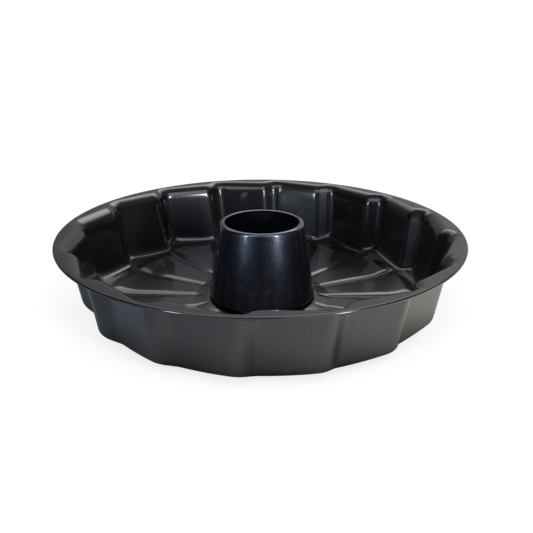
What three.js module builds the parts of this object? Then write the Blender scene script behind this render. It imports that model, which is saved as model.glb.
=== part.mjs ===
// Fluted tube pan: a pressed steel body with saw-tooth flutes and a tapered tube locked into its floor.
// Sizes are millimetres and degrees, +Z is up, and the pan stands on z = 0 with its axis on Z.
// Sheet pieces are drawn along the middle of the sheet, and thickened to both sides at the end.
import * as THREE from 'three';

// Sheet and seam
const SHEET = 0.7;
const SEAM_CLEARANCE = 0.3;

// Rim and flange
const RIM_RADIUS = 140;
const BODY_HEIGHT = 53.3;
const RIM_CURL_RADIUS = 1;
const RIM_CURL_SWEEP = 190;
const FLANGE_WIDTH = 6.4;
const FLANGE_LAND = 0.4;

// Fluted wall: each flute is a step out and a flat panel that runs back in
const FLUTES = 16;
const FLUTE_DEPTH = 7.6;
const STEP_ANGLE = 4.6;
const FLUTE_ROUND = 5;
const FLUTE_LEAN = 1.3;
const WALL_DRAFT = 8.8;
const TOP_BEND = 9.5;
const FOOT_FILLET = 6;
const OUTER_FOOT_FILLET = 10;

// Floor: a dish that rises to the wall, one arched petal for each flute, and a raised ring round the tube
const DISH_CORNER_RADIUS = 104;
const DISH_ANGLE = 21;
const PETAL_RISE = 2.5;
const PETAL_CROWN_POWER = 1.5;
const PETAL_RUN_IN = 3;
const PETAL_RUN_OUT = 8;
const RING_RISE = 2;
const RING_LAND = 1;
const RING_SLOPE_WIDTH = 9;
const RING_ROUND = 8;

// Centre tube
const TUBE_HEIGHT = 58.7;
const TUBE_TOP_RADIUS = 29.8;
const TUBE_FOOT_RADIUS = 38.3;
const TUBE_CURL_RADIUS = 2.4;
const TUBE_CURL_SWEEP = 110;
const TUBE_FOOT_ROUND = 2;
const TUBE_SHOULDER = 3.2;
const TUBE_SEAM_WIDTH = 4;
const TUBE_FOLD = 0.7;

// Mesh steps
const ARC_STEPS = 2;
const PANEL_STEPS = 3;
const RING_STEPS = 1;
const DISH_STEPS = 3;
const FILLET_STEPS = 3;
const CURL_STEPS = 6;
const TUBE_COLUMNS = 40;

const radians = THREE.MathUtils.degToRad;

function point(x, y) {
  return new THREE.Vector2(x, y);
}

function polar(radius, degrees) {
  return point(radius * Math.cos(radians(degrees)), radius * Math.sin(radians(degrees)));
}

function angleOf(place) {
  return THREE.MathUtils.radToDeg(Math.atan2(place.y, place.x));
}

// The corner between two straight runs, replaced by an arc of the given radius.
function roundedCorner(before, corner, after, radius, steps) {
  const back = before.clone().sub(corner).normalize();
  const ahead = after.clone().sub(corner).normalize();
  const half = Math.acos(THREE.MathUtils.clamp(back.dot(ahead), -1, 1)) / 2;
  const start = corner.clone().addScaledVector(back, radius / Math.tan(half));
  const turn = (Math.PI - 2 * half) * Math.sign(-back.cross(ahead));
  return [start, ...curl(start, back.negate(), radius, turn, steps)];
}

// Points of an arc that leaves a start point along a heading. A positive sweep turns left.
function curl(start, heading, radius, sweep, steps) {
  const side = Math.sign(sweep);
  const centre = point(-heading.y, heading.x).multiplyScalar(radius * side).add(start);
  const arc = [];
  for (let step = 1; step <= steps; step++) {
    arc.push(start.clone().rotateAround(centre, (sweep * step) / steps));
  }
  return arc;
}

// Length that a rounded corner takes from each of its two straight runs.
function cornerReach(radius, turnDegrees) {
  return radius * Math.tan(radians(turnDegrees) / 2);
}

// Heights of the middle of the sheet
const FLANGE_MIDDLE = BODY_HEIGHT - SHEET / 2;
const FLOOR_MIDDLE = SHEET / 2;
const RING_MIDDLE = FLOOR_MIDDLE + RING_RISE;

// Flute corners where the wall meets the flange
const PITCH = 360 / FLUTES;
const CURL_START_RADIUS = RIM_RADIUS - RIM_CURL_RADIUS;
const OUTER_CORNER_RADIUS = CURL_START_RADIUS - FLANGE_WIDTH;
const INNER_CORNER_RADIUS = OUTER_CORNER_RADIUS - FLUTE_DEPTH;

// The dish arc takes the room that the foot fillet leaves at the inner corners.
const INNER_FOOT_RADIUS = wallFoot(INNER_CORNER_RADIUS).x;
const DISH_SLOPE_ROOM = (INNER_FOOT_RADIUS - DISH_CORNER_RADIUS) / Math.cos(radians(DISH_ANGLE));
const DISH_REACH = DISH_SLOPE_ROOM - cornerReach(FOOT_FILLET, 90 - WALL_DRAFT - DISH_ANGLE);
const DISH_ROUND = DISH_REACH / cornerReach(1, DISH_ANGLE);

// Radii across the floor, from the seam outwards
const HOLE_RADIUS = TUBE_FOOT_RADIUS - TUBE_SHOULDER;
const SEAM_RADIUS = HOLE_RADIUS + TUBE_SEAM_WIDTH;
const RING_CREST_RADIUS = SEAM_RADIUS + RING_LAND;
const RING_FOOT_RADIUS = RING_CREST_RADIUS + RING_SLOPE_WIDTH;
const PETAL_INNER_RADIUS = RING_FOOT_RADIUS + PETAL_RUN_IN;
const PETAL_END_RADIUS = DISH_CORNER_RADIUS + DISH_REACH * Math.cos(radians(DISH_ANGLE));
const PETAL_OUTER_RADIUS = PETAL_END_RADIUS - PETAL_RUN_OUT;

// One flute in plan, walked clockwise from its inner corner: rounded step, then the flat panel.
// Each place carries its share of the petal rise. The crease between petals runs to the inner corner.
function flutePlan() {
  const lastOuter = polar(OUTER_CORNER_RADIUS, STEP_ANGLE - PITCH);
  const inner = polar(INNER_CORNER_RADIUS, 0);
  const outer = polar(OUTER_CORNER_RADIUS, STEP_ANGLE);
  const nextInner = polar(INNER_CORNER_RADIUS, PITCH);
  const innerArc = roundedCorner(lastOuter, inner, outer, FLUTE_ROUND, ARC_STEPS);
  const outerArc = roundedCorner(inner, outer, nextInner, FLUTE_ROUND, ARC_STEPS);
  const panel = [];
  for (let step = 1; step < PANEL_STEPS; step++) {
    panel.push(outer.clone().lerp(nextInner, step / PANEL_STEPS));
  }
  const creaseStart = angleOf(innerArc[0]);
  const creaseEnd = angleOf(innerArc.at(-1));
  const petalAngle = PITCH - creaseEnd + creaseStart;
  return [...innerArc, ...outerArc, ...panel].map((place) => {
    const angle = angleOf(place);
    const across = THREE.MathUtils.euclideanModulo(angle - creaseEnd, PITCH) / petalAngle;
    const fromCrown = Math.min(Math.abs(2 * across - 1), 1);
    return { angle, radius: place.length(), petalShare: 1 - fromCrown ** PETAL_CROWN_POWER };
  });
}

// Share of the petal rise at a radius: it grows with the width of the petal, and fades out at the ring and
// at the end of the dish.
function petalFade(radius) {
  const atRing = (radius - RING_CREST_RADIUS) / (PETAL_INNER_RADIUS - RING_CREST_RADIUS);
  const atDish = (PETAL_END_RADIUS - radius) / PETAL_RUN_OUT;
  const width = radius / PETAL_OUTER_RADIUS;
  return width * THREE.MathUtils.clamp(Math.min(atRing, atDish), 0, 1);
}

// Where the wall line of one column meets the dish. All wall lines aim at one point on the axis.
function wallFoot(topRadius) {
  const draft = (Math.tan(radians(WALL_DRAFT)) * topRadius) / OUTER_CORNER_RADIUS;
  const slope = Math.tan(radians(DISH_ANGLE));
  const flatFoot = topRadius - draft * (FLANGE_MIDDLE - FLOOR_MIDDLE);
  const rise = (slope * (flatFoot - DISH_CORNER_RADIUS)) / (1 - slope * draft);
  return point(flatFoot + draft * rise, FLOOR_MIDDLE + rise);
}

// Radius of the bend from wall to flange of one column, as large as the flange there allows.
function topBendRadius(topRadius) {
  const room = CURL_START_RADIUS - FLANGE_LAND - topRadius;
  return Math.min(TOP_BEND, room / cornerReach(1, 90 - WALL_DRAFT));
}

// Radius of the fillet between wall and dish of one column, widest at the outer corners.
function footFilletRadius(topRadius) {
  const outward = (topRadius - INNER_CORNER_RADIUS) / FLUTE_DEPTH;
  return THREE.MathUtils.lerp(FOOT_FILLET, OUTER_FOOT_FILLET, outward);
}

// Section of the body through the axis, from the centre hole out to the end of the rim curl.
function bodySection(topRadius, petalShare) {
  const holeEdge = point(HOLE_RADIUS, RING_MIDDLE);
  const crest = point(RING_CREST_RADIUS, RING_MIDDLE);
  const ringFoot = point(RING_FOOT_RADIUS, FLOOR_MIDDLE);
  const petalInner = point(PETAL_INNER_RADIUS, FLOOR_MIDDLE);
  const dishCorner = point(DISH_CORNER_RADIUS, FLOOR_MIDDLE);
  const foot = wallFoot(topRadius);
  const top = point(topRadius, FLANGE_MIDDLE);
  const curlStart = point(CURL_START_RADIUS, FLANGE_MIDDLE);
  const curlMiddle = RIM_CURL_RADIUS - SHEET / 2;
  const section = [
    holeEdge,
    ...roundedCorner(holeEdge, crest, ringFoot, RING_ROUND, RING_STEPS),
    ringFoot,
    petalInner,
    ...roundedCorner(petalInner, dishCorner, foot, DISH_ROUND, DISH_STEPS),
    ...roundedCorner(dishCorner, foot, top, footFilletRadius(topRadius), FILLET_STEPS),
    ...roundedCorner(foot, top, curlStart, topBendRadius(topRadius), FILLET_STEPS),
    curlStart,
    ...curl(curlStart, point(1, 0), curlMiddle, -radians(RIM_CURL_SWEEP), CURL_STEPS),
  ];
  return section.map((p) => point(p.x, p.y + PETAL_RISE * petalShare * petalFade(p.x)));
}

// Section of the tube, from its seam flange under the floor up to the end of the lip curl.
function tubeSection() {
  const seamHeight = RING_MIDDLE - SHEET - SEAM_CLEARANCE;
  const shoulderHeight = RING_MIDDLE + SHEET + SEAM_CLEARANCE;
  const neckRadius = HOLE_RADIUS - SEAM_CLEARANCE - SHEET / 2;
  const footRadius = TUBE_FOOT_RADIUS - SHEET / 2;
  const curlMiddle = TUBE_CURL_RADIUS - SHEET / 2;
  const seamEdge = point(SEAM_RADIUS, seamHeight);
  const neckFoot = point(neckRadius, seamHeight);
  const neckTop = point(neckRadius, shoulderHeight);
  const foot = point(footRadius, shoulderHeight);
  const top = point(TUBE_TOP_RADIUS - SHEET / 2, TUBE_HEIGHT - TUBE_CURL_RADIUS);
  const heading = top.clone().sub(foot).normalize();
  return [
    seamEdge,
    ...roundedCorner(seamEdge, neckFoot, neckTop, TUBE_FOLD, ARC_STEPS),
    ...roundedCorner(neckFoot, neckTop, foot, TUBE_FOLD, ARC_STEPS),
    ...roundedCorner(neckTop, foot, top, TUBE_FOOT_ROUND, FILLET_STEPS),
    top,
    ...curl(top, heading, curlMiddle, radians(TUBE_CURL_SWEEP), CURL_STEPS),
  ];
}

// A section stood up at an angle round the axis. The lean turns it clockwise from the flange to the floor.
function standUp(section, angle, lean) {
  return section.map((p) => {
    const depth = (FLANGE_MIDDLE - p.y) / (FLANGE_MIDDLE - FLOOR_MIDDLE);
    const place = polar(p.x, angle - lean * depth);
    return new THREE.Vector3(place.x, place.y, p.y);
  });
}

// Moves every point of a closed ring of sections square to the sheet, keeping flat areas flat.
function offsetSkin(columns, distance) {
  const faceNormal = (column, row) => {
    const here = columns[column];
    const next = columns[(column + 1) % columns.length];
    const rising = here[row + 1].clone().sub(next[row]);
    const falling = next[row + 1].clone().sub(here[row]);
    return falling.cross(rising).normalize();
  };
  const lastRow = columns[0].length - 1;
  const normals = columns.map((_, c) => columns[c].slice(1).map((_, r) => faceNormal(c, r)));
  return columns.map((section, column) => {
    const before = normals[(column + columns.length - 1) % columns.length];
    const after = normals[column];
    return section.map((place, row) => {
      const rows = [Math.max(row - 1, 0), Math.min(row, lastRow - 1)];
      const around = rows.flatMap((r) => [before[r], after[r]]);
      const normal = around.reduce((sum, n) => sum.add(n), new THREE.Vector3()).normalize();
      const spread = around.reduce((sum, n) => sum + n.dot(normal), 0) / around.length;
      return place.clone().addScaledVector(normal, distance / spread);
    });
  });
}

// A closed solid of even thickness from a ring of sections along the middle of the sheet.
function sheetGeometry(columns) {
  const skins = [offsetSkin(columns, SHEET / 2), offsetSkin(columns, -SHEET / 2)];
  const rows = columns[0].length;
  const count = columns.length;
  const vertices = skins.flat(2).flatMap((p) => p.toArray());
  const vertex = (skin, column, row) => (skin * count + (column % count)) * rows + row;
  const triangles = [];
  const quad = (a, b, c, d) => triangles.push(a, b, c, a, c, d);
  const last = rows - 1;
  for (let column = 0; column < count; column++) {
    const next = column + 1;
    for (let row = 0; row < last; row++) {
      const above = row + 1;
      quad(vertex(0, column, row), vertex(0, next, row), vertex(0, next, above), vertex(0, column, above));
      quad(vertex(1, column, row), vertex(1, column, above), vertex(1, next, above), vertex(1, next, row));
    }
    quad(vertex(0, column, 0), vertex(1, column, 0), vertex(1, next, 0), vertex(0, next, 0));
    quad(vertex(0, column, last), vertex(0, next, last), vertex(1, next, last), vertex(1, column, last));
  }
  const geometry = new THREE.BufferGeometry();
  geometry.setAttribute('position', new THREE.Float32BufferAttribute(vertices, 3));
  geometry.setIndex(triangles);
  geometry.computeVertexNormals();
  return geometry;
}

function panBody() {
  const plan = flutePlan();
  const columns = [];
  for (let flute = 0; flute < FLUTES; flute++) {
    for (const { angle, radius, petalShare } of plan) {
      columns.push(standUp(bodySection(radius, petalShare), -flute * PITCH - angle, FLUTE_LEAN));
    }
  }
  const coating = new THREE.MeshStandardMaterial({ color: 0x46474b, roughness: 0.32, metalness: 0.55 });
  const body = new THREE.Mesh(sheetGeometry(columns), coating);
  body.name = 'pan_body';
  return body;
}

function centreTube() {
  const columns = [];
  for (let column = 0; column < TUBE_COLUMNS; column++) {
    columns.push(standUp(tubeSection(), (-360 * column) / TUBE_COLUMNS, 0));
  }
  const coating = new THREE.MeshStandardMaterial({ color: 0x34373f, roughness: 0.42, metalness: 0.65 });
  const tube = new THREE.Mesh(sheetGeometry(columns), coating);
  tube.name = 'centre_tube';
  return tube;
}

const pan = new THREE.Group();
pan.name = 'fluted_tube_pan';
pan.add(panBody(), centreTube());

export default pan;
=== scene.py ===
import math

import bpy
import numpy as np
from mathutils import Euler, Matrix, Vector


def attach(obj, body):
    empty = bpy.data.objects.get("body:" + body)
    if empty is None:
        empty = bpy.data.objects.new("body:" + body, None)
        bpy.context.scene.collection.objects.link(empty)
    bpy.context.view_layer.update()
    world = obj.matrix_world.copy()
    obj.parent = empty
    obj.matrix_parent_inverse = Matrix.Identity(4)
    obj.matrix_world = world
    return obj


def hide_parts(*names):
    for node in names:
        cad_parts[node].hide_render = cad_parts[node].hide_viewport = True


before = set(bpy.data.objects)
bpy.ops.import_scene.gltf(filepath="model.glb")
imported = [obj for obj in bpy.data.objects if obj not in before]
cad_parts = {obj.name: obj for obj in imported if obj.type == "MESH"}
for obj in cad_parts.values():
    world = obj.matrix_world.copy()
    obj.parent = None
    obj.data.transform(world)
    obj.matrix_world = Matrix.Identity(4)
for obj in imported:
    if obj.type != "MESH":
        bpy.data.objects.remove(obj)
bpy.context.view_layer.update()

MM = 0.001

# Sheet and seam
SHEET = 0.7
SEAM_CLEARANCE = 0.3

# Rim and flange
RIM_RADIUS = 140.0
BODY_HEIGHT = 53.3
RIM_CURL_RADIUS = 1.0
RIM_CURL_SWEEP = 190.0
FLANGE_WIDTH = 6.4
FLANGE_LAND = 0.4

# Fluted wall, with its corners rounder than the part's for softer highlights
FLUTES = 16
FLUTE_DEPTH = 7.6
STEP_ANGLE = 4.6
FLUTE_ROUND = 9.0
FLUTE_LEAN = 1.3
WALL_DRAFT = 8.8
TOP_BEND = 9.5
FOOT_FILLET = 6.0
OUTER_FOOT_FILLET = 10.0

# Pan floor, with petals up to 0.9 mm lower at the crown than the part's, and with steeper sides
DISH_CORNER_RADIUS = 104.0
DISH_ANGLE = 21.0
PETAL_RISE = 1.6
PETAL_CROWN_POWER = 8.0
CREASE_ANGLE = 2.0
PETAL_RUN_IN = 3.0
PETAL_RUN_OUT = 8.0
RING_RISE = 2.0
RING_LAND = 1.0
RING_SLOPE_WIDTH = 9.0
RING_ROUND = 8.0

# Centre tube, a little lower than the part's, so that its finer lip stays inside the part's box
TUBE_HEIGHT = 58.65
TUBE_TOP_RADIUS = 29.8
TUBE_FOOT_RADIUS = 38.3
TUBE_CURL_RADIUS = 2.4
TUBE_CURL_SWEEP = 110.0
TUBE_FOOT_ROUND = 2.0
TUBE_SHOULDER = 3.2
TUBE_SEAM_WIDTH = 4.0
TUBE_FOLD = 0.7

# Mesh steps of the fine pieces
FLUTE_STEPS = 8
PANEL_STEPS = 20
RING_STEPS = 4
PETAL_FADE_STEPS = 5
DISH_STEPS = 14
FILLET_STEPS = 9
WALL_STEPS = 8
CURL_STEPS = 18
FOLD_STEPS = 4
TUBE_COLUMNS = 128
TUBE_WALL_STEPS = 6

# Coats, with the fleck cells and the gloss drift counted per metre
BODY_COLOUR = (0.034, 0.035, 0.038)
BODY_FLECK = (0.056, 0.058, 0.064)
BODY_ROUGHNESS = 0.4
BODY_FILM = 0.85
TUBE_COLOUR = (0.078, 0.089, 0.126)
TUBE_FLECK = (0.16, 0.178, 0.24)
TUBE_ROUGHNESS = 0.31
TUBE_FILM = 0.9
FILM_ROUGHNESS = 0.1
FILM_IOR = 1.8
FLECK_CELLS = 1900.0
FLECK_SHARE = 0.4
GRAIN_STRENGTH = 0.2
GRAIN_DEPTH = 0.0001
GLOSS_DRIFT = 14.0
GLOSS_DETAIL = 3.0
GLOSS_SPREAD = 0.04

# Plain colours
WHITE = (1.0, 1.0, 1.0)
BLACK = (0.0, 0.0, 0.0)

# Studio floor
FLOOR_WIDTH = 8.0
FLOOR_GLOW = 0.74
FLOOR_COLOUR = (0.42, 0.42, 0.42)
FLOOR_NEAR = 0.2
FLOOR_FAR = 0.55
# Painted shadow: the glow that mirror rays see on the floor fades out under and near the pan
PAN_SHADE_INNER = 0.108
PAN_SHADE_OUTER = 0.16
# Painted light and shade in the glow that mirror rays see: dim and bluish at the left, bright and warm at
# the right
FLOOR_PAINTED_LIGHT_REACH = 0.25
FLOOR_LEFT_PAINTED_SHADE = (0.12, 0.16, 0.24)
FLOOR_RIGHT_PAINTED_LIGHT = (1.05, 1.03, 0.93)

# Studio world, with its limits as parts of a unit direction
BACK_START = 0.3
BACK_END = 0.75
FRONT_GLOW = 0.01
BACK_GLOW = 0.36
SIDE_REACH = 0.45
LEFT_GLOW = 0.42
CARD_FOOT = 0.5
CARD_TOP = 0.66
CARD_GLOW = 9.0
WORLD_FILL = 0.55

# Lights
LIGHT_AIM = (0, 0, 0.03)
STRIP_SIZE = (0.12, 0.42)
LEFT_LIGHT_PLACE = (-0.66, -0.75, 0.32)
LEFT_LIGHT_WATTS = 2.3
LEFT_LIGHT_COLOUR = (0.76, 0.87, 1)
RIGHT_LIGHT_PLACE = (0.64, -0.77, 0.32)
RIGHT_LIGHT_WATTS = 3.2
RIGHT_LIGHT_COLOUR = (0.92, 0.96, 1)
TOP_LIGHT_SIZE = (0.6, 0.6)
TOP_LEFT_PLACE = (-0.3, -0.55, 0.9)
TOP_LEFT_WATTS = 1.3
TOP_RIGHT_PLACE = (0.4, -0.55, 0.85)
TOP_RIGHT_WATTS = 1.7
TOP_LIGHT_COLOUR = (0.85, 0.92, 1)

# Camera, fitted to the photo's perspective, with the lens and the sensor in millimetres
CAMERA_PLACE = (0.00395, -0.41291, 0.19129)
CAMERA_PITCH = 22.06
CAMERA_YAW = 0.854
CAMERA_ROLL = 0.443
CAMERA_LENS = 41.635
CAMERA_SENSOR = 36.0
CAMERA_SHIFT = -0.0177


# Plane geometry

def point(x, y):
    return np.array([x, y], float)


def polar(radius, degrees):
    """The place at a radius and an angle."""
    angle = math.radians(degrees)
    return point(radius * math.cos(angle), radius * math.sin(angle))


def angle_of(place):
    """Angle of a place in degrees."""
    return math.degrees(math.atan2(place[1], place[0]))


def unit(vector):
    return vector / np.linalg.norm(vector)


def curl(start, heading, radius, sweep, steps):
    """Points of an arc that leaves a start point along a heading. A positive sweep turns left."""
    side = math.copysign(1, sweep)
    centre = start + point(-heading[1], heading[0]) * radius * side
    spoke = start - centre
    arc = []
    for step in range(1, steps + 1):
        turn = sweep * step / steps
        cos, sin = math.cos(turn), math.sin(turn)
        arc.append(centre + point(cos * spoke[0] - sin * spoke[1], sin * spoke[0] + cos * spoke[1]))
    return arc


def rounded_corner(before, corner, after, radius, steps):
    """The corner between two straight runs, replaced by an arc of the given radius."""
    back = unit(before - corner)
    ahead = unit(after - corner)
    half = math.acos(np.clip(back @ ahead, -1, 1)) / 2
    start = corner + back * radius / math.tan(half)
    side = math.copysign(1, back[1] * ahead[0] - back[0] * ahead[1])
    return [start, *curl(start, -back, radius, (math.pi - 2 * half) * side, steps)]


def corner_reach(radius, turn):
    """Length that a rounded corner takes from each of its two straight runs."""
    return radius * math.tan(math.radians(turn) / 2)


def run(start, end, steps):
    """Points between two places, without the places themselves."""
    return [start + (end - start) * step / steps for step in range(1, steps)]


def smooth(share):
    """A share from 0 to 1 with a soft start and a soft end."""
    share = min(max(share, 0.0), 1.0)
    return share * share * (3 - 2 * share)


# Sizes that follow from the ones above

FLANGE_MIDDLE = BODY_HEIGHT - SHEET / 2
FLOOR_MIDDLE = SHEET / 2
RING_MIDDLE = FLOOR_MIDDLE + RING_RISE
PITCH = 360 / FLUTES
CURL_START_RADIUS = RIM_RADIUS - RIM_CURL_RADIUS
OUTER_CORNER_RADIUS = CURL_START_RADIUS - FLANGE_WIDTH
INNER_CORNER_RADIUS = OUTER_CORNER_RADIUS - FLUTE_DEPTH


def top_bend_radius(top_radius):
    """Radius of the bend from wall to flange of one column, as large as the flange there allows."""
    room = CURL_START_RADIUS - FLANGE_LAND - top_radius
    return min(TOP_BEND, room / corner_reach(1, 90 - WALL_DRAFT))


def foot_fillet_radius(top_radius):
    """Radius of the fillet between wall and dish of one column, widest at the outer corners."""
    outward = (top_radius - INNER_CORNER_RADIUS) / FLUTE_DEPTH
    return FOOT_FILLET + (OUTER_FOOT_FILLET - FOOT_FILLET) * outward


def wall_foot(top_radius):
    """Where the wall line of one column meets the dish."""
    draft = math.tan(math.radians(WALL_DRAFT)) * top_radius / OUTER_CORNER_RADIUS
    slope = math.tan(math.radians(DISH_ANGLE))
    flat_foot = top_radius - draft * (FLANGE_MIDDLE - FLOOR_MIDDLE)
    rise = slope * (flat_foot - DISH_CORNER_RADIUS) / (1 - slope * draft)
    return point(flat_foot + draft * rise, FLOOR_MIDDLE + rise)


INNER_FOOT_RADIUS = wall_foot(INNER_CORNER_RADIUS)[0]
DISH_SLOPE_ROOM = (INNER_FOOT_RADIUS - DISH_CORNER_RADIUS) / math.cos(math.radians(DISH_ANGLE))
DISH_REACH = DISH_SLOPE_ROOM - corner_reach(FOOT_FILLET, 90 - WALL_DRAFT - DISH_ANGLE)
DISH_ROUND = DISH_REACH / corner_reach(1, DISH_ANGLE)
HOLE_RADIUS = TUBE_FOOT_RADIUS - TUBE_SHOULDER
SEAM_RADIUS = HOLE_RADIUS + TUBE_SEAM_WIDTH
RING_CREST_RADIUS = SEAM_RADIUS + RING_LAND
RING_FOOT_RADIUS = RING_CREST_RADIUS + RING_SLOPE_WIDTH
PETAL_INNER_RADIUS = RING_FOOT_RADIUS + PETAL_RUN_IN
PETAL_END_RADIUS = DISH_CORNER_RADIUS + DISH_REACH * math.cos(math.radians(DISH_ANGLE))
PETAL_OUTER_RADIUS = PETAL_END_RADIUS - PETAL_RUN_OUT


# Pan body

def flute_plan():
    """One flute in plan, clockwise from its inner corner: (angle, radius, share of the petal rise)."""
    last_outer = polar(OUTER_CORNER_RADIUS, STEP_ANGLE - PITCH)
    inner = polar(INNER_CORNER_RADIUS, 0)
    outer = polar(OUTER_CORNER_RADIUS, STEP_ANGLE)
    next_inner = polar(INNER_CORNER_RADIUS, PITCH)
    inner_arc = rounded_corner(last_outer, inner, outer, FLUTE_ROUND, FLUTE_STEPS)
    outer_arc = rounded_corner(inner, outer, next_inner, FLUTE_ROUND, FLUTE_STEPS)
    next_start = polar(np.linalg.norm(inner_arc[0]), angle_of(inner_arc[0]) + PITCH)
    panel = run(outer_arc[-1], next_start, PANEL_STEPS)
    petal_angle = PITCH - CREASE_ANGLE
    plan = []
    for place in [*inner_arc, *outer_arc, *panel]:
        # Places past the end of the petal lie in the crease and do not rise.
        across = (angle_of(place) - CREASE_ANGLE / 2) % PITCH / petal_angle
        from_crown = min(abs(2 * across - 1), 1.0)
        plan.append((angle_of(place), np.linalg.norm(place), 1 - from_crown ** PETAL_CROWN_POWER))
    return plan


def petal_fade(radius):
    """Share of the petal rise: it grows with the width of the petal, and fades out at ring and dish end."""
    at_ring = (radius - RING_CREST_RADIUS) / (PETAL_INNER_RADIUS - RING_CREST_RADIUS)
    at_dish = (PETAL_END_RADIUS - radius) / PETAL_RUN_OUT
    width = radius / PETAL_OUTER_RADIUS
    return width * smooth(at_ring) * smooth(at_dish)


def body_section(top_radius, petal_share):
    """Section of the body through the axis, from the centre hole out to the end of the rim curl."""
    hole_edge = point(HOLE_RADIUS, RING_MIDDLE)
    crest = point(RING_CREST_RADIUS, RING_MIDDLE)
    ring_foot = point(RING_FOOT_RADIUS, FLOOR_MIDDLE)
    petal_inner = point(PETAL_INNER_RADIUS, FLOOR_MIDDLE)
    dish_corner = point(DISH_CORNER_RADIUS, FLOOR_MIDDLE)
    foot = wall_foot(top_radius)
    top = point(top_radius, FLANGE_MIDDLE)
    curl_start = point(CURL_START_RADIUS, FLANGE_MIDDLE)
    ring_bend = rounded_corner(hole_edge, crest, ring_foot, RING_ROUND, RING_STEPS)
    ring_sink = rounded_corner(crest, ring_foot, petal_inner, RING_ROUND, RING_STEPS)
    dish_bend = rounded_corner(petal_inner, dish_corner, foot, DISH_ROUND, DISH_STEPS)
    foot_bend = rounded_corner(dish_corner, foot, top, foot_fillet_radius(top_radius), FILLET_STEPS)
    top_bend = rounded_corner(foot, top, curl_start, top_bend_radius(top_radius), FILLET_STEPS)
    curl_radius = RIM_CURL_RADIUS - SHEET / 2
    curl_sweep = -math.radians(RIM_CURL_SWEEP)
    section = [
        hole_edge,
        *ring_bend,
        *ring_sink,
        *run(ring_sink[-1], petal_inner, PETAL_FADE_STEPS),
        petal_inner,
        *run(petal_inner, dish_bend[0], PETAL_FADE_STEPS),
        *dish_bend,
        *foot_bend,
        *run(foot_bend[-1], top_bend[0], WALL_STEPS),
        *top_bend,
        curl_start,
        *curl(curl_start, point(1, 0), curl_radius, curl_sweep, CURL_STEPS),
    ]
    return [place + point(0, PETAL_RISE * petal_share * petal_fade(place[0])) for place in section]


# Centre tube

def tube_section():
    """Section of the tube, from its seam flange under the floor up to the end of the lip curl."""
    seam_height = RING_MIDDLE - SHEET - SEAM_CLEARANCE
    shoulder_height = RING_MIDDLE + SHEET + SEAM_CLEARANCE
    neck_radius = HOLE_RADIUS - SEAM_CLEARANCE - SHEET / 2
    seam_edge = point(SEAM_RADIUS, seam_height)
    neck_foot = point(neck_radius, seam_height)
    neck_top = point(neck_radius, shoulder_height)
    foot = point(TUBE_FOOT_RADIUS - SHEET / 2, shoulder_height)
    top = point(TUBE_TOP_RADIUS - SHEET / 2, TUBE_HEIGHT - TUBE_CURL_RADIUS)
    foot_bend = rounded_corner(neck_top, foot, top, TUBE_FOOT_ROUND, FILLET_STEPS)
    curl_radius = TUBE_CURL_RADIUS - SHEET / 2
    curl_sweep = math.radians(TUBE_CURL_SWEEP)
    heading = unit(top - foot)
    return [
        seam_edge,
        *rounded_corner(seam_edge, neck_foot, neck_top, TUBE_FOLD, FOLD_STEPS),
        *rounded_corner(neck_foot, neck_top, foot, TUBE_FOLD, FOLD_STEPS),
        *foot_bend,
        *run(foot_bend[-1], top, TUBE_WALL_STEPS),
        top,
        *curl(top, heading, curl_radius, curl_sweep, CURL_STEPS),
    ]


# Sheet meshes

def stand_up(section, degrees, lean):
    """A section stood up at an angle round the axis. The lean turns it clockwise from flange to floor."""
    column = []
    for radius, height in section:
        depth = (FLANGE_MIDDLE - height) / (FLANGE_MIDDLE - FLOOR_MIDDLE)
        x, y = polar(radius, degrees - lean * depth)
        column.append((x, y, height))
    return column


def offset_skin(columns, distance):
    """Moves every point of a closed ring of sections square to the sheet."""
    following = np.roll(columns, -1, axis=0)
    rising = columns[:, 1:] - following[:, :-1]
    falling = following[:, 1:] - columns[:, :-1]
    # One normal for each cell between two neighbouring sections
    after = np.cross(falling, rising)
    after /= np.linalg.norm(after, axis=2, keepdims=True)
    before = np.roll(after, 1, axis=0)
    # The four cells round each point. At the two ends there are only two cells, which count twice.
    first_to_last = [*range(after.shape[1])]
    lower = [0, *first_to_last]
    upper = [*first_to_last, first_to_last[-1]]
    around = np.stack([before[:, lower], after[:, lower], before[:, upper], after[:, upper]])
    normal = around.sum(axis=0)
    normal /= np.linalg.norm(normal, axis=2, keepdims=True)
    # A point moves further where the sheet bends, so that the thickness stays even.
    spread = (around * normal).sum(axis=3).mean(axis=0)
    return columns + normal * (distance / spread)[:, :, None]


def sheet_object(name, columns):
    """A closed sheet of even thickness from a ring of sections along its middle."""
    columns = np.array(columns)
    count, rows = columns.shape[:2]
    skins = np.stack([offset_skin(columns, SHEET / 2), offset_skin(columns, -SHEET / 2)])
    index = np.arange(2 * count * rows).reshape(2, count, rows)
    here, ahead = index, np.roll(index, -1, axis=1)
    upper = np.stack([here[0, :, :-1], ahead[0, :, :-1], ahead[0, :, 1:], here[0, :, 1:]], axis=-1)
    under = np.stack([here[1, :, :-1], here[1, :, 1:], ahead[1, :, 1:], ahead[1, :, :-1]], axis=-1)
    first = np.stack([here[0, :, 0], here[1, :, 0], ahead[1, :, 0], ahead[0, :, 0]], axis=-1)
    last = np.stack([here[0, :, -1], ahead[0, :, -1], ahead[1, :, -1], here[1, :, -1]], axis=-1)
    faces = np.concatenate([upper.reshape(-1, 4), under.reshape(-1, 4), first, last])
    mesh = bpy.data.meshes.new(name)
    mesh.from_pydata((skins.reshape(-1, 3) * MM).tolist(), [], faces.tolist())
    mesh.shade_smooth()
    # The faces after the two skins are the cut edges of the sheet, which stay sharp.
    sharp_from = 2 * count * (rows - 1)
    for polygon in mesh.polygons[sharp_from:]:
        polygon.use_smooth = False
    piece = bpy.data.objects.new(name, mesh)
    bpy.context.scene.collection.objects.link(piece)
    return piece


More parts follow.
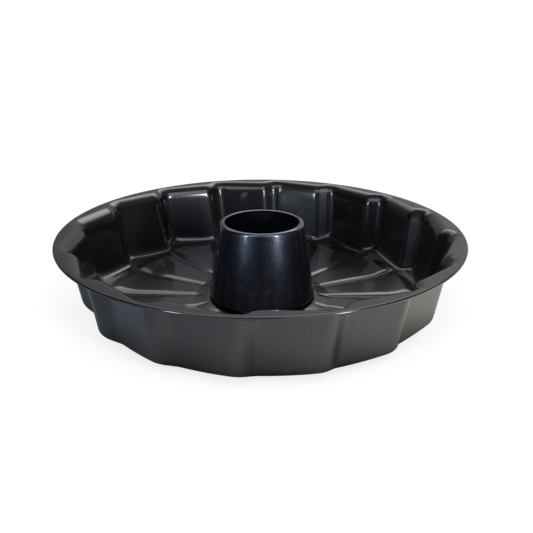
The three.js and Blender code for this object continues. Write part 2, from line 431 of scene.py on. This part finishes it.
def pan_body():
    """The pressed body: one section for each place of the plan, repeated for every flute."""
    columns = []
    plan = flute_plan()
    for flute in range(FLUTES):
        for angle, radius, petal_share in plan:
            section = body_section(radius, petal_share)
            columns.append(stand_up(section, -flute * PITCH - angle, FLUTE_LEAN))
    return sheet_object("pan_body_sheet", columns)


def centre_tube():
    """The tapered tube: one section turned round the axis."""
    section = tube_section()
    columns = [stand_up(section, -360 * column / TUBE_COLUMNS, 0) for column in range(TUBE_COLUMNS)]
    return sheet_object("centre_tube_sheet", columns)


# Materials

def new_material(name):
    """A material, its node tree and its main shader."""
    material = bpy.data.materials.new(name)
    material.use_nodes = True
    return material, material.node_tree, material.node_tree.nodes["Principled BSDF"]


def add(tree, kind, **values):
    """A node of a kind. Values that are the node's own fields are set there, the rest on its inputs."""
    node = tree.nodes.new(kind)
    for name, value in values.items():
        if hasattr(node, name):
            setattr(node, name, value)
        else:
            node.inputs[name].default_value = value
    return node


def object_place(tree):
    """The shaded place in the frame of its own object."""
    return add(tree, "ShaderNodeTexCoord").outputs["Object"]


def ramp(tree, value, start, end, low=0.0, high=1.0):
    """A smooth change from low to high while a value goes from start to end."""
    node = add(tree, "ShaderNodeMapRange", interpolation_type="SMOOTHSTEP")
    node.inputs["From Min"].default_value = start
    node.inputs["From Max"].default_value = end
    node.inputs["To Min"].default_value = low
    node.inputs["To Max"].default_value = high
    tree.links.new(value, node.inputs["Value"])
    return node.outputs["Result"]


def combine(tree, operation, first, second):
    """One value from two, such as their sum or their product."""
    node = add(tree, "ShaderNodeMath", operation=operation)
    tree.links.new(first, node.inputs[0])
    tree.links.new(second, node.inputs[1])
    return node.outputs["Value"]


def set_or_link(tree, socket, value):
    """Gives an input a number, a colour or the output of another node."""
    if isinstance(value, float):
        socket.default_value = value
    elif isinstance(value, tuple):
        socket.default_value = (*value, 1)
    else:
        tree.links.new(value, socket)


def blend(tree, kind, share, first, second):
    """A colour (RGBA) or a number (FLOAT) between two others."""
    node = add(tree, "ShaderNodeMix", data_type=kind)
    tree.links.new(share, node.inputs["Factor"])
    set_or_link(tree, node.inputs["A"], first)
    set_or_link(tree, node.inputs["B"], second)
    return node.outputs["Result"]


def coated_steel(name, colour, fleck_colour, roughness, film):
    """A sprayed coat: metallic flecks and a fine grain under a clear film, with a slow drift of gloss."""
    material, tree, shader = new_material(name)
    link = tree.links.new
    place = object_place(tree)
    cells = add(tree, "ShaderNodeTexVoronoi", Scale=FLECK_CELLS)
    link(place, cells.inputs["Vector"])
    cell_tone = add(tree, "ShaderNodeSeparateColor")
    link(cells.outputs["Color"], cell_tone.inputs["Color"])
    flecks = ramp(tree, cell_tone.outputs["Red"], 1 - FLECK_SHARE, 1.0)
    link(blend(tree, "RGBA", flecks, colour, fleck_colour), shader.inputs["Base Color"])
    drift = add(tree, "ShaderNodeTexNoise", Scale=GLOSS_DRIFT, Detail=GLOSS_DETAIL)
    link(place, drift.inputs["Vector"])
    gloss = ramp(tree, drift.outputs["Fac"], 0.0, 1.0, roughness - GLOSS_SPREAD, roughness + GLOSS_SPREAD)
    link(gloss, shader.inputs["Roughness"])
    bump = add(tree, "ShaderNodeBump", Strength=GRAIN_STRENGTH, Distance=GRAIN_DEPTH)
    link(cell_tone.outputs["Green"], bump.inputs["Height"])
    link(bump.outputs["Normal"], shader.inputs["Normal"])
    shader.inputs["Metallic"].default_value = 1.0
    shader.inputs["Coat Weight"].default_value = film
    shader.inputs["Coat Roughness"].default_value = FILM_ROUGHNESS
    shader.inputs["Coat IOR"].default_value = FILM_IOR
    return material


# Studio

def floor_white():
    """A white that glows for the camera, more so further out, which keeps the pan's shadow pale.
    Mirror rays see a glow with painted light instead: painted shade makes it dim and bluish at the left,
    painted light makes it bright and warm at the right, and a painted shadow fades it out under and near
    the pan."""
    material, tree, shader = new_material("studio_white")
    link = tree.links.new
    place = object_place(tree)
    split = add(tree, "ShaderNodeSeparateXYZ")
    link(place, split.inputs["Vector"])
    reach = add(tree, "ShaderNodeVectorMath", operation="LENGTH")
    link(place, reach.inputs[0])
    path = add(tree, "ShaderNodeLightPath")
    for_camera = path.outputs["Is Camera Ray"]
    for_mirror = path.outputs["Is Glossy Ray"]
    far = ramp(tree, reach.outputs["Value"], FLOOR_NEAR, FLOOR_FAR)
    seen_glow = ramp(tree, reach.outputs["Value"], FLOOR_NEAR, FLOOR_FAR, FLOOR_GLOW, 1.0)
    # Painted shadow under and near the pan, seen only by mirror rays
    mirror_glow = ramp(tree, reach.outputs["Value"], PAN_SHADE_INNER, PAN_SHADE_OUTER)
    # Painted shade at the left and painted light at the right, seen only by mirror rays
    side = ramp(tree, split.outputs["X"], -FLOOR_PAINTED_LIGHT_REACH, FLOOR_PAINTED_LIGHT_REACH)
    mirror_painted_light = blend(tree, "RGBA", side, FLOOR_LEFT_PAINTED_SHADE, FLOOR_RIGHT_PAINTED_LIGHT)
    glow_colour_with_painted_light = blend(tree, "RGBA", for_mirror, WHITE, mirror_painted_light)
    seen = combine(tree, "MULTIPLY", for_camera, seen_glow)
    mirrored = combine(tree, "MULTIPLY", for_mirror, mirror_glow)
    only_glow = combine(tree, "MAXIMUM", far, for_mirror)
    link(blend(tree, "RGBA", only_glow, FLOOR_COLOUR, BLACK), shader.inputs["Base Color"])
    link(glow_colour_with_painted_light, shader.inputs["Emission Color"])
    link(combine(tree, "ADD", seen, mirrored), shader.inputs["Emission Strength"])
    shader.inputs["Roughness"].default_value = 1.0
    shader.inputs["Specular IOR Level"].default_value = 0.0
    return material


def studio_floor():
    """One wide square under the pan."""
    half = FLOOR_WIDTH / 2
    corners = [(-half, -half, 0), (half, -half, 0), (half, half, 0), (-half, half, 0)]
    mesh = bpy.data.meshes.new("studio_floor")
    mesh.from_pydata(corners, [], [(0, 1, 2, 3)])
    mesh.materials.append(floor_white())
    floor = bpy.data.objects.new("studio_floor", mesh)
    bpy.context.scene.collection.objects.link(floor)


def studio_world():
    """White for the camera, and an even fill for the light that the scene scatters.
    Mirror rays see a dark front, and a grey back, dimmer at the left and with a bright card high up."""
    world = bpy.data.worlds.new("studio")
    bpy.context.scene.world = world
    world.use_nodes = True
    tree = world.node_tree
    link = tree.links.new
    background = tree.nodes["Background"]
    path = add(tree, "ShaderNodeLightPath")
    place = add(tree, "ShaderNodeTexCoord")
    split = add(tree, "ShaderNodeSeparateXYZ")
    link(place.outputs["Generated"], split.inputs["Vector"])
    depth = ramp(tree, split.outputs["Y"], BACK_START, BACK_END, FRONT_GLOW, BACK_GLOW)
    side = ramp(tree, split.outputs["X"], -SIDE_REACH, SIDE_REACH, LEFT_GLOW, 1.0)
    card = ramp(tree, split.outputs["Z"], CARD_FOOT, CARD_TOP, 1.0, CARD_GLOW)
    mirrored = combine(tree, "MULTIPLY", combine(tree, "MULTIPLY", depth, side), card)
    unseen = blend(tree, "FLOAT", path.outputs["Is Glossy Ray"], WORLD_FILL, mirrored)
    strength = blend(tree, "FLOAT", path.outputs["Is Camera Ray"], unseen, 1.0)
    link(strength, background.inputs["Strength"])
    background.inputs["Color"].default_value = (*WHITE, 1)


def soft_light(name, place, size, watts, colour):
    """A flat lamp that faces the pan. Its size is the width and the height."""
    lamp = bpy.data.lights.new(name, "AREA")
    lamp.shape = "RECTANGLE"
    lamp.size, lamp.size_y = size
    lamp.energy = watts
    lamp.color = colour
    holder = bpy.data.objects.new(name, lamp)
    bpy.context.scene.collection.objects.link(holder)
    holder.location = place
    heading = Vector(LIGHT_AIM) - Vector(place)
    holder.rotation_euler = heading.to_track_quat("-Z", "Y").to_euler()


def studio_lights():
    """Two upright strips for the streaks on the tube, and two weak lamps above for the fluted wall."""
    soft_light("left_light", LEFT_LIGHT_PLACE, STRIP_SIZE, LEFT_LIGHT_WATTS, LEFT_LIGHT_COLOUR)
    soft_light("right_light", RIGHT_LIGHT_PLACE, STRIP_SIZE, RIGHT_LIGHT_WATTS, RIGHT_LIGHT_COLOUR)
    soft_light("top_left_light", TOP_LEFT_PLACE, TOP_LIGHT_SIZE, TOP_LEFT_WATTS, TOP_LIGHT_COLOUR)
    soft_light("top_right_light", TOP_RIGHT_PLACE, TOP_LIGHT_SIZE, TOP_RIGHT_WATTS, TOP_LIGHT_COLOUR)


def studio_camera():
    """A camera tipped down by its pitch, turned by its yaw, and rolled about its own line of sight."""
    lens = bpy.data.cameras.new("camera")
    lens.lens = CAMERA_LENS
    lens.sensor_width = CAMERA_SENSOR
    lens.shift_x = CAMERA_SHIFT
    camera = bpy.data.objects.new("camera", lens)
    bpy.context.scene.collection.objects.link(camera)
    camera.location = CAMERA_PLACE
    aim = Euler((math.radians(90 - CAMERA_PITCH), 0, -math.radians(CAMERA_YAW))).to_matrix()
    roll = Matrix.Rotation(math.radians(CAMERA_ROLL), 3, "Z")
    camera.rotation_euler = (aim @ roll).to_euler()
    bpy.context.scene.camera = camera


# The scene

bpy.context.scene.view_settings.view_transform = "Standard"

body = pan_body()
body_coat = coated_steel("body_coat", BODY_COLOUR, BODY_FLECK, BODY_ROUGHNESS, BODY_FILM)
body.data.materials.append(body_coat)
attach(body, "root")
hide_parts("pan_body")

tube = centre_tube()
tube_coat = coated_steel("tube_coat", TUBE_COLOUR, TUBE_FLECK, TUBE_ROUGHNESS, TUBE_FILM)
tube.data.materials.append(tube_coat)
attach(tube, "root")
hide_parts("centre_tube")

studio_floor()
studio_world()
studio_lights()
studio_camera()
